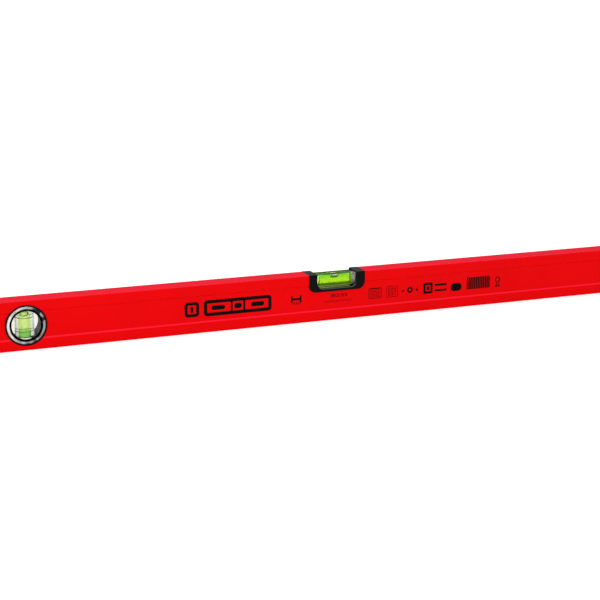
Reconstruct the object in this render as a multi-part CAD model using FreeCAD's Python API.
import FreeCAD, Part
import math
import os

from FreeCAD import Matrix, Vector

# Box-section spirit level, in millimetres.
# X runs along the level, Y across it (the front face looks along -Y), Z up.
# The origin is the middle of the bottom measuring face.

# Overall size
LENGTH = 800.0                # end cap to end cap
HEIGHT = 50.0                 # measuring face to measuring face
THICKNESS = 22.0              # across the rails

# Extruded box profile
RAIL_HEIGHT = 10.6            # flat rail along each long edge of both sides
RAIL_STEP = 1.0               # how far a rail stands proud of the web
RAIL_SLOPE = 1.5              # height of the slanted step from rail to web
EDGE_ROUND = 1.0              # rounded long edges
STEP_ROUND = 0.4              # softened edges of the slanted steps
WEB_WALL = 1.5                # wall behind the web
SOLE_WALL = 2.5               # wall behind each measuring face
CAVITY_ROUND = 1.2            # inside corners of the hollow

# End caps
CAP_PLATE = 4.0               # plate that covers the end of the profile
CAP_ROUND = 2.0               # rounded outer edges of the plate
CAP_PLUG = 18.0               # plug that goes into the hollow
CAP_PLUG_WALL = 1.8
CAP_PLUG_GAP = 0.12           # between the plug and the hollow
CAP_RIB_WIDTH = 2.0           # ribs on the plug that bear on the hollow
CAP_RIB_SPACING = 24.0        # between the two ribs of one side

# Housing of the centre vial, let into the top edge
CENTRE_WINDOW_HALF = 22.0     # half of the opening between the cheeks
CENTRE_CHEEK = 9.7            # width of each cheek
CENTRE_CORNER = 8.0           # outside bottom corners
CENTRE_FLOOR = 3.3            # floor under the window
CENTRE_COVER = 1.5            # from the vial block up to the top measuring face
CENTRE_WINDOW_CORNER = 6.5    # inside bottom corners of the window
CENTRE_SEAT = 3.3             # how far each cheek takes in the block
CENTRE_EDGE = 0.5             # softened outline of each face
CENTRE_WINDOW_EDGE = 1.1      # rounder edge of the window, which catches the light
CENTRE_PEG_RISE = 6.0         # lower pegs, above the underside
CENTRE_PEG_DROP = 4.0         # upper pegs, below the top
HOUSING_GAP = 0.1             # between a housing and its cut-out
HOOK_REACH = 1.4              # hooks that catch under the top wall
HOOK_HEIGHT = 5.0
HOOK_HALF_DEPTH = 5.0

# Centre vial: a clear block with a barrel-shaped chamber bored along it
CENTRE_BLOCK_DEPTH = 16.0     # across the level
CENTRE_BLOCK_HEIGHT = 14.0
CENTRE_BLOCK_ROUND = 0.3      # softened long edges
CENTRE_BORE_RADIUS = 5.7      # at mid-length, where the barrel is widest
CENTRE_CLEAR_END = 4.0        # solid clear end of the block that shows beside each cheek
CENTRE_BARREL = 1100.0        # radius of the bore's long curve
CENTRE_BUBBLE_HALF = 5.0      # half of the bubble's length
CENTRE_BUBBLE_SIDE = 3.9      # half of its width
CENTRE_BUBBLE_DROP = 1.8      # half of its height
CENTRE_BUBBLE_FLAT = 0.25     # flattened off its top by the bore
CENTRE_LINE_AT = 6.0          # reading lines, from mid-length
CENTRE_LINE_MARGIN = 1.0      # from the ends of a line to the sides of the block

# Round housing of the plumb vial
PLUMB_FROM_END = 74.0         # from the left end of the level
PLUMB_WINDOW_RADIUS = 14.2    # see-through opening
PLUMB_WALL = 4.0              # wall of the barrel that passes through the profile
PLUMB_FLANGE = 2.3            # rim beyond the barrel, resting on the web
PLUMB_RIM_DEPTH = 1.8         # sunk into the face, flush with the rails
PLUMB_RIM_WALL = 1.6          # black border left around the lens
PLUMB_SEAT = 0.5              # how far the tube reaches past the opening at each end
PLUMB_KEY_WIDTH = 3.0         # key that keeps the vial upright
PLUMB_KEY_REACH = 1.2
PLUMB_PEG_ANGLE = 33.0        # pegs above and below the middle, in degrees

# Lenses of the plumb vial
LENS_THICKNESS = 1.1
LENS_SINK = 0.1               # below the faces of the rails
LENS_BEVEL = 2.4              # width of the bevelled border
LENS_BEVEL_DROP = 0.55
LENS_GAP = 0.05

# Plumb vial
PLUMB_TUBE_RADIUS = 9.0
PLUMB_TUBE_END = 2.0          # thickness of each end of the tube
PLUMB_BORE_RADIUS = 3.9
PLUMB_BARREL = 900.0
PLUMB_BUBBLE_HALF = 2.7
PLUMB_BUBBLE_SIDE = 3.3
PLUMB_BUBBLE_GAP = 0.3        # to the top of the chamber when the level lies flat
PLUMB_LINE_AT = 6.8

# Shared small fits
SEAT_GAP = 0.1                # between a vial and its seat
FILM = 0.02                   # between fluid, plug or ring and the tube around it
BUBBLE_SKIN = 0.05            # between a bubble and the fluid around it
LINE_WIDTH = 0.6              # width of a reading line
LINE_DEPTH = 0.3              # groove it lies in
PEG_RADIUS = 1.1              # pegs that join the two halves of the centre housing
SMALL_PEG_RADIUS = 0.9        # pegs of the plumb housing
PEG_LENGTH = 3.0
PEG_GAP = 0.05

# Worked out from the sizes above
HALF_LENGTH = LENGTH / 2
HALF_THICK = THICKNESS / 2
WEB_HALF = HALF_THICK - RAIL_STEP
CAVITY_HALF = WEB_HALF - WEB_WALL
PROFILE_HALF = HALF_LENGTH - CAP_PLATE
CENTRE_HALF_WIDTH = CENTRE_WINDOW_HALF + CENTRE_CHEEK
CENTRE_BLOCK_TOP = HEIGHT - CENTRE_COVER
CENTRE_AXIS_Z = CENTRE_BLOCK_TOP - CENTRE_BLOCK_HEIGHT / 2
CENTRE_WINDOW_Z = CENTRE_BLOCK_TOP - CENTRE_BLOCK_HEIGHT - SEAT_GAP
CENTRE_BOTTOM = CENTRE_WINDOW_Z - CENTRE_FLOOR
CENTRE_SEAT_HALF = CENTRE_WINDOW_HALF + CENTRE_SEAT
CENTRE_BLOCK_HALF = CENTRE_SEAT_HALF - SEAT_GAP
CENTRE_CHAMBER_HALF = CENTRE_WINDOW_HALF - CENTRE_CLEAR_END
PLUMB_BARREL_RADIUS = PLUMB_WINDOW_RADIUS + PLUMB_WALL
PLUMB_RIM_RADIUS = PLUMB_BARREL_RADIUS + PLUMB_FLANGE
PLUMB_TUBE_HALF = PLUMB_WINDOW_RADIUS + PLUMB_SEAT
PLUMB_CHAMBER_HALF = PLUMB_TUBE_HALF - PLUMB_TUBE_END
LENS_RADIUS = PLUMB_RIM_RADIUS - PLUMB_RIM_WALL - LENS_GAP
PLUMB_X = PLUMB_FROM_END - HALF_LENGTH
PLUMB_Z = HEIGHT / 2
CENTRE = Vector(0, 0, CENTRE_AXIS_Z)
PLUMB = Vector(PLUMB_X, 0, PLUMB_Z)
X = Vector(1, 0, 0)
Y = Vector(0, 1, 0)
Z = Vector(0, 0, 1)
TINY = 1e-6                   # two places this close are one place
PAST = 1.0                    # how far a cutting tool runs past what it cuts


def block(x0, x1, y0, y1, z0, z1):
    """Box between two opposite corners, whichever way round they are given."""
    low = Vector(min(x0, x1), min(y0, y1), min(z0, z1))
    return Part.makeBox(abs(x1 - x0), abs(y1 - y0), abs(z1 - z0), low)


def rod(radius, start, direction, reach):
    return Part.makeCylinder(radius, reach, start, direction)


def edges_along(shape, direction):
    """Straight edges of a shape that run along one direction."""
    found = []
    for edge in shape.Edges:
        if edge.Curve.TypeId != "Part::GeomLine":
            continue
        if edge.tangentAt(edge.FirstParameter).cross(direction).Length < TINY:
            found.append(edge)
    return found


def u_plate(half_width, bottom, top, corner, y0, y1):
    """Plate across Y with round bottom corners and a straight top edge."""
    plate = block(-half_width, half_width, y0, y1, bottom, top)
    low = [edge for edge in edges_along(plate, Y) if edge.CenterOfMass.z < bottom + TINY]
    return plate.makeFillet(corner, low)


# ------------------------------------------------------------------ profile

def profile_section():
    """Outline of the extrusion: two flat rails and a web set back between them on each side."""
    step_low = RAIL_HEIGHT + RAIL_SLOPE
    side = [
        (HALF_THICK, 0.0),
        (HALF_THICK, RAIL_HEIGHT),
        (WEB_HALF, step_low),
        (WEB_HALF, HEIGHT - step_low),
        (HALF_THICK, HEIGHT - RAIL_HEIGHT),
        (HALF_THICK, HEIGHT),
    ]
    front = [Vector(-PROFILE_HALF, -y, z) for y, z in side]
    rear = [Vector(-PROFILE_HALF, y, z) for y, z in reversed(side)]
    return Part.Face(Part.makePolygon(front + rear + front[:1]))


def at_measuring_face(edge):
    rise = edge.CenterOfMass.z
    return min(rise, HEIGHT - rise) < TINY


def on_a_step(edge):
    """Edges where the slanted steps meet the rails and the webs."""
    rise = edge.CenterOfMass.z
    from_face = min(rise, HEIGHT - rise)
    return min(abs(from_face - RAIL_HEIGHT), abs(from_face - RAIL_HEIGHT - RAIL_SLOPE)) < TINY


def profile_bar():
    """The extrusion before the vials are let in: rounded outside, hollow inside."""
    bar = profile_section().extrude(Vector(2 * PROFILE_HALF, 0, 0))
    bar = bar.makeFillet(EDGE_ROUND, [edge for edge in edges_along(bar, X) if at_measuring_face(edge)])
    steps = [edge for edge in edges_along(bar, X) if on_a_step(edge)]
    bar = bar.makeFillet(STEP_ROUND, steps)
    hollow = block(-PROFILE_HALF, PROFILE_HALF, -CAVITY_HALF, CAVITY_HALF, SOLE_WALL, HEIGHT - SOLE_WALL)
    hollow = hollow.makeFillet(CAVITY_ROUND, edges_along(hollow, X))
    return bar.cut(hollow)


def centre_cutout():
    """Opening in the top edge that takes the centre housing."""
    return u_plate(
        CENTRE_HALF_WIDTH + HOUSING_GAP,
        CENTRE_BOTTOM - HOUSING_GAP,
        HEIGHT + PAST,
        CENTRE_CORNER + HOUSING_GAP,
        -THICKNESS,
        THICKNESS,
    )


def plumb_cutout():
    """Round hole for the plumb housing, with a shallow seat for its rim on each face and a key notch."""
    centre = Vector(PLUMB_X, -THICKNESS, PLUMB_Z)
    hole = rod(PLUMB_BARREL_RADIUS + HOUSING_GAP, centre, Y, 2 * THICKNESS)
    for side in (-1, 1):
        floor = Vector(PLUMB_X, side * (HALF_THICK - PLUMB_RIM_DEPTH), PLUMB_Z)
        hole = hole.fuse(rod(PLUMB_RIM_RADIUS + HOUSING_GAP, floor, Y * side, THICKNESS))
    half_key = PLUMB_KEY_WIDTH / 2 + HOUSING_GAP
    key_bottom = PLUMB_Z - PLUMB_BARREL_RADIUS - PLUMB_KEY_REACH - HOUSING_GAP
    notch = block(PLUMB_X - half_key, PLUMB_X + half_key, -THICKNESS, THICKNESS, key_bottom, PLUMB_Z)
    return hole.fuse(notch)


def profile():
    return profile_bar().cut(centre_cutout()).cut(plumb_cutout())


# ----------------------------------------------------------------- end caps

def end_cap(side):
    """Cap for one end: rounded plate outside, hollow ribbed plug inside the profile."""
    outer = side * HALF_LENGTH
    inner = side * PROFILE_HALF
    plate = block(inner, outer, -HALF_THICK, HALF_THICK, 0.0, HEIGHT)
    rounded = [edge for edge in plate.Edges if abs(edge.CenterOfMass.x - inner) > TINY]
    plate = plate.makeFillet(CAP_ROUND, rounded)
    tip = inner - side * CAP_PLUG
    y_out = CAVITY_HALF - CAP_PLUG_GAP
    z_low = SOLE_WALL + CAP_PLUG_GAP
    plug = block(inner, tip, -y_out, y_out, z_low, HEIGHT - z_low)
    plug = plug.makeFillet(CAVITY_ROUND, edges_along(plug, X))
    y_in = y_out - CAP_PLUG_WALL
    z_in = z_low + CAP_PLUG_WALL
    plug = plug.cut(block(inner, tip - side * PAST, -y_in, y_in, z_in, HEIGHT - z_in))
    for z in (HEIGHT / 2 - CAP_RIB_SPACING / 2, HEIGHT / 2 + CAP_RIB_SPACING / 2):
        for y_side in (-1, 1):
            low, high = z - CAP_RIB_WIDTH / 2, z + CAP_RIB_WIDTH / 2
            plug = plug.fuse(block(inner, tip, y_side * y_in, y_side * CAVITY_HALF, low, high))
    return plate.fuse(plug).removeSplitter()


# ----------------------------------------------------------- vials in general

def end_radius_of(radius, half, long_radius):
    """Radius at the ends of a barrel-shaped bore."""
    return radius - half * half / (2 * long_radius)


def barrel(centre, axis, radius, half, long_radius):
    """Solid of a vial's chamber: a cylinder that swells gently towards its middle."""
    end_radius = end_radius_of(radius, half, long_radius)
    across = Z if axis.cross(Z).Length > 0.5 else X
    foot_low = centre - axis * half
    foot_high = centre + axis * half
    low = foot_low + across * end_radius
    high = foot_high + across * end_radius
    curve = Part.Arc(low, centre + across * radius, high).toShape()
    straight = Part.makePolygon([high, foot_high, foot_low, low])
    outline = Part.Wire([curve] + straight.Edges)
    return Part.Face(outline).revolve(centre, axis, 360)


def ring(centre, axis, outer, inner, width):
    start = centre - axis * (width / 2)
    return rod(outer, start, axis, width).cut(rod(inner, start, axis, width))


def ellipsoid(centre, half_x, half_y, half_z):
    stretch = Matrix()
    stretch.scale(Vector(half_x, half_y, half_z))
    ball = Part.makeSphere(1.0).transformGeometry(stretch)
    ball.translate(centre)
    return ball


def vial_plug(centre, axis, half, plug_radius, chamber_half):
    start = centre + axis * chamber_half
    return rod(plug_radius - FILM, start, axis, half - chamber_half)


# --------------------------------------------------------------- centre vial

CENTRE_PLUG_RADIUS = end_radius_of(CENTRE_BORE_RADIUS, CENTRE_CHAMBER_HALF, CENTRE_BARREL)


def centre_chamber(shrink=0.0):
    return barrel(CENTRE, X, CENTRE_BORE_RADIUS - shrink, CENTRE_CHAMBER_HALF - shrink, CENTRE_BARREL)


def centre_block():
    """Clear block: chamber inside, closed at the left end, open for a plug at the right, grooved on top."""
    half_depth = CENTRE_BLOCK_DEPTH / 2
    bottom = CENTRE_BLOCK_TOP - CENTRE_BLOCK_HEIGHT
    body = block(
        -CENTRE_BLOCK_HALF, CENTRE_BLOCK_HALF, -half_depth, half_depth, bottom, CENTRE_BLOCK_TOP)
    body = body.makeFillet(CENTRE_BLOCK_ROUND, edges_along(body, X))
    body = body.cut(centre_chamber())
    mouth = CENTRE + X * (CENTRE_CHAMBER_HALF - FILM)
    body = body.cut(rod(CENTRE_PLUG_RADIUS, mouth, X, CENTRE_BLOCK_HALF))
    return body.cut(centre_line(-1)).cut(centre_line(1))


def centre_line(end, gap=0.0):
    """Reading line across the top of the block; with no gap, the groove that it fills."""
    middle = end * CENTRE_LINE_AT
    half_width = LINE_WIDTH / 2 - gap
    reach = CENTRE_BLOCK_DEPTH / 2 - CENTRE_LINE_MARGIN - gap
    bottom = CENTRE_BLOCK_TOP - LINE_DEPTH + gap
    return block(middle - half_width, middle + half_width, -reach, reach, bottom, CENTRE_BLOCK_TOP)


def centre_bubble(grow=0.0):
    """Bubble lying against the top of the bore, narrow enough to pass the chamber's ends."""
    roof = CENTRE_PLUG_RADIUS - 2 * BUBBLE_SKIN
    middle = CENTRE + Z * (roof + CENTRE_BUBBLE_FLAT - CENTRE_BUBBLE_DROP)
    body = ellipsoid(
        middle, CENTRE_BUBBLE_HALF + grow, CENTRE_BUBBLE_SIDE + grow, CENTRE_BUBBLE_DROP + grow)
    reach = CENTRE_BUBBLE_HALF + PAST
    return body.common(rod(roof + grow, CENTRE - X * reach, X, 2 * reach))


def centre_fluid():
    return centre_chamber(FILM).cut(centre_bubble(BUBBLE_SKIN))


def centre_housing(side):
    """Front or rear half of the centre housing: floor, two cheeks and half of each seat of the block."""
    face = side * HALF_THICK
    shell = u_plate(CENTRE_HALF_WIDTH, CENTRE_BOTTOM, HEIGHT, CENTRE_CORNER, 0, face)
    window = u_plate(
        CENTRE_WINDOW_HALF, CENTRE_WINDOW_Z, HEIGHT + PAST, CENTRE_WINDOW_CORNER, -THICKNESS, THICKNESS)
    shell = shell.cut(window)
    shell = shell.makeFillet(CENTRE_EDGE, face_edges(shell, face, False))
    shell = shell.makeFillet(CENTRE_WINDOW_EDGE, face_edges(shell, face, True))
    seat_depth = CENTRE_BLOCK_DEPTH / 2 + SEAT_GAP
    seat = block(
        -CENTRE_SEAT_HALF, CENTRE_SEAT_HALF, -seat_depth, seat_depth,
        CENTRE_WINDOW_Z, CENTRE_BLOCK_TOP + SEAT_GAP)
    shell = shell.cut(seat)
    for end in (-1, 1):
        shell = shell.fuse(hook(end, side))
    return joined_by_pegs(shell, side, centre_peg_places(), PEG_RADIUS)


def in_window(place):
    return abs(place.x) < CENTRE_WINDOW_HALF + TINY and place.z > CENTRE_WINDOW_Z - TINY


def face_edges(shell, face, of_window):
    """Edges round a housing's outer face or round its window, without the ones along the top."""
    found = []
    for edge in shell.Edges:
        reach = max(abs(edge.BoundBox.YMin - face), abs(edge.BoundBox.YMax - face))
        place = edge.CenterOfMass
        if reach < TINY and place.z < HEIGHT - TINY and in_window(place) == of_window:
            found.append(edge)
    return found


def hook(end, side):
    """Wedge on a cheek that catches under the top wall of the profile."""
    top = HEIGHT - SOLE_WALL - HOUSING_GAP
    root = end * (CENTRE_HALF_WIDTH - EDGE_ROUND)
    tip = end * (CENTRE_HALF_WIDTH + HOOK_REACH)
    foot = end * CENTRE_HALF_WIDTH
    bottom = top - HOOK_HEIGHT
    outline = [Vector(root, 0, top), Vector(tip, 0, top), Vector(foot, 0, bottom), Vector(root, 0, bottom)]
    wedge = Part.Face(Part.makePolygon(outline + outline[:1]))
    return wedge.extrude(Y * (side * HOOK_HALF_DEPTH))


def centre_peg_places():
    """Two pegs in each cheek, between the seat and the outside."""
    middle = (CENTRE_SEAT_HALF + CENTRE_HALF_WIDTH) / 2
    levels = (CENTRE_BOTTOM + CENTRE_PEG_RISE, HEIGHT - CENTRE_PEG_DROP)
    return [Vector(end * middle, 0, z) for end in (-1, 1) for z in levels]


def joined_by_pegs(half_shell, side, places, radius):
    """Pegs on the front half, matching holes in the rear half."""
    for place in places:
        if side < 0:
            half_shell = half_shell.fuse(rod(radius, place, Y, PEG_LENGTH))
        else:
            half_shell = half_shell.cut(rod(radius + PEG_GAP, place, Y, PEG_LENGTH + 2 * PEG_GAP))
    return half_shell


# ---------------------------------------------------------------- plumb vial

PLUMB_PLUG_RADIUS = end_radius_of(PLUMB_BORE_RADIUS, PLUMB_CHAMBER_HALF, PLUMB_BARREL)


def plumb_chamber(shrink=0.0):
    return barrel(PLUMB, Z, PLUMB_BORE_RADIUS - shrink, PLUMB_CHAMBER_HALF - shrink, PLUMB_BARREL)


def plumb_tube():
    """Clear tube: chamber inside, closed at the bottom, open for a plug at the top, grooved all round."""
    tube = rod(PLUMB_TUBE_RADIUS, PLUMB - Z * PLUMB_TUBE_HALF, Z, 2 * PLUMB_TUBE_HALF)
    tube = tube.cut(plumb_chamber())
    mouth = PLUMB + Z * (PLUMB_CHAMBER_HALF - FILM)
    tube = tube.cut(rod(PLUMB_PLUG_RADIUS, mouth, Z, PLUMB_TUBE_HALF))
    for side in (-1, 1):
        middle = PLUMB + Z * (side * PLUMB_LINE_AT)
        groove = ring(middle, Z, PLUMB_TUBE_RADIUS + PAST, PLUMB_TUBE_RADIUS - LINE_DEPTH, LINE_WIDTH)
        tube = tube.cut(groove)
    return tube


def plumb_line(side):
    """Reading line round the tube, filling its groove."""
    middle = PLUMB + Z * (side * PLUMB_LINE_AT)
    inner = PLUMB_TUBE_RADIUS - LINE_DEPTH + FILM
    return ring(middle, Z, PLUMB_TUBE_RADIUS, inner, LINE_WIDTH - 2 * FILM)


def plumb_bubble(grow=0.0):
    """Bubble risen to the top of the upright tube, as it does while the level lies flat."""
    top = PLUMB_Z + PLUMB_CHAMBER_HALF - PLUMB_BUBBLE_GAP
    middle = Vector(PLUMB_X, 0, top - PLUMB_BUBBLE_HALF)
    return ellipsoid(middle, PLUMB_BUBBLE_SIDE + grow, PLUMB_BUBBLE_SIDE + grow, PLUMB_BUBBLE_HALF + grow)


def plumb_fluid():
    return plumb_chamber(FILM).cut(plumb_bubble(BUBBLE_SKIN))


def plumb_housing(side):
    """Front or rear half of the round housing: sunk rim, barrel, lens seat and half of each tube seat."""
    face = Vector(PLUMB_X, side * HALF_THICK, PLUMB_Z)
    inward = Y * -side
    shell = rod(PLUMB_RIM_RADIUS, face, inward, PLUMB_RIM_DEPTH)
    shell = shell.fuse(rod(PLUMB_BARREL_RADIUS, face, inward, HALF_THICK))
    key_bottom = PLUMB_Z - PLUMB_BARREL_RADIUS - PLUMB_KEY_REACH
    half_key = PLUMB_KEY_WIDTH / 2
    key_root = side * (HALF_THICK - PLUMB_RIM_DEPTH / 2)
    shell = shell.fuse(block(PLUMB_X - half_key, PLUMB_X + half_key, key_root, 0, key_bottom, PLUMB_Z))
    shell = shell.cut(rod(LENS_RADIUS + LENS_GAP, face, inward, LENS_SINK + LENS_THICKNESS))
    shell = shell.cut(rod(PLUMB_WINDOW_RADIUS, face, inward, THICKNESS))
    pocket = PLUMB_TUBE_HALF + SEAT_GAP
    shell = shell.cut(rod(PLUMB_TUBE_RADIUS + SEAT_GAP, PLUMB - Z * pocket, Z, 2 * pocket))
    return joined_by_pegs(shell.removeSplitter(), side, plumb_peg_places(), SMALL_PEG_RADIUS)


def plumb_peg_places():
    """Four pegs in the wall of the barrel, clear of the tube seats."""
    reach = (PLUMB_WINDOW_RADIUS + PLUMB_BARREL_RADIUS) / 2
    run = X * (reach * math.cos(math.radians(PLUMB_PEG_ANGLE)))
    lift = Z * (reach * math.sin(math.radians(PLUMB_PEG_ANGLE)))
    return [PLUMB + run * right + lift * up for right in (-1, 1) for up in (-1, 1)]


def plumb_lens(side):
    """Clear disc with a bevelled border, set just below the rim."""
    back = Vector(PLUMB_X, side * (HALF_THICK - LENS_SINK - LENS_THICKNESS), PLUMB_Z)
    outward = Y * side
    straight = LENS_THICKNESS - LENS_BEVEL_DROP
    disc = rod(LENS_RADIUS, back, outward, straight)
    border = Part.makeCone(
        LENS_RADIUS, LENS_RADIUS - LENS_BEVEL, LENS_BEVEL_DROP, back + outward * straight, outward)
    return disc.fuse(border)


# ------------------------------------------------------------------ all parts

def all_parts():
    return {
        "profile": profile(),
        "end_cap_left": end_cap(-1),
        "end_cap_right": end_cap(1),
        "centre_housing_front": centre_housing(-1),
        "centre_housing_rear": centre_housing(1),
        "centre_vial_block": centre_block(),
        "centre_vial_plug": vial_plug(
            CENTRE, X, CENTRE_BLOCK_HALF, CENTRE_PLUG_RADIUS, CENTRE_CHAMBER_HALF),
        "centre_fluid": centre_fluid(),
        "centre_bubble": centre_bubble(),
        "centre_line_left": centre_line(-1, FILM),
        "centre_line_right": centre_line(1, FILM),
        "plumb_housing_front": plumb_housing(-1),
        "plumb_housing_rear": plumb_housing(1),
        "plumb_lens_front": plumb_lens(-1),
        "plumb_lens_rear": plumb_lens(1),
        "plumb_vial_tube": plumb_tube(),
        "plumb_vial_plug": vial_plug(PLUMB, Z, PLUMB_TUBE_HALF, PLUMB_PLUG_RADIUS, PLUMB_CHAMBER_HALF),
        "plumb_fluid": plumb_fluid(),
        "plumb_bubble": plumb_bubble(),
        "plumb_line_upper": plumb_line(1),
        "plumb_line_lower": plumb_line(-1),
    }


os.makedirs("parts", exist_ok=True)
for name, shape in all_parts().items():
    shape.exportStep("parts/" + name + ".step")
    print(name, "valid", shape.isValid(), "solids", len(shape.Solids), "volume", round(shape.Volume, 2))
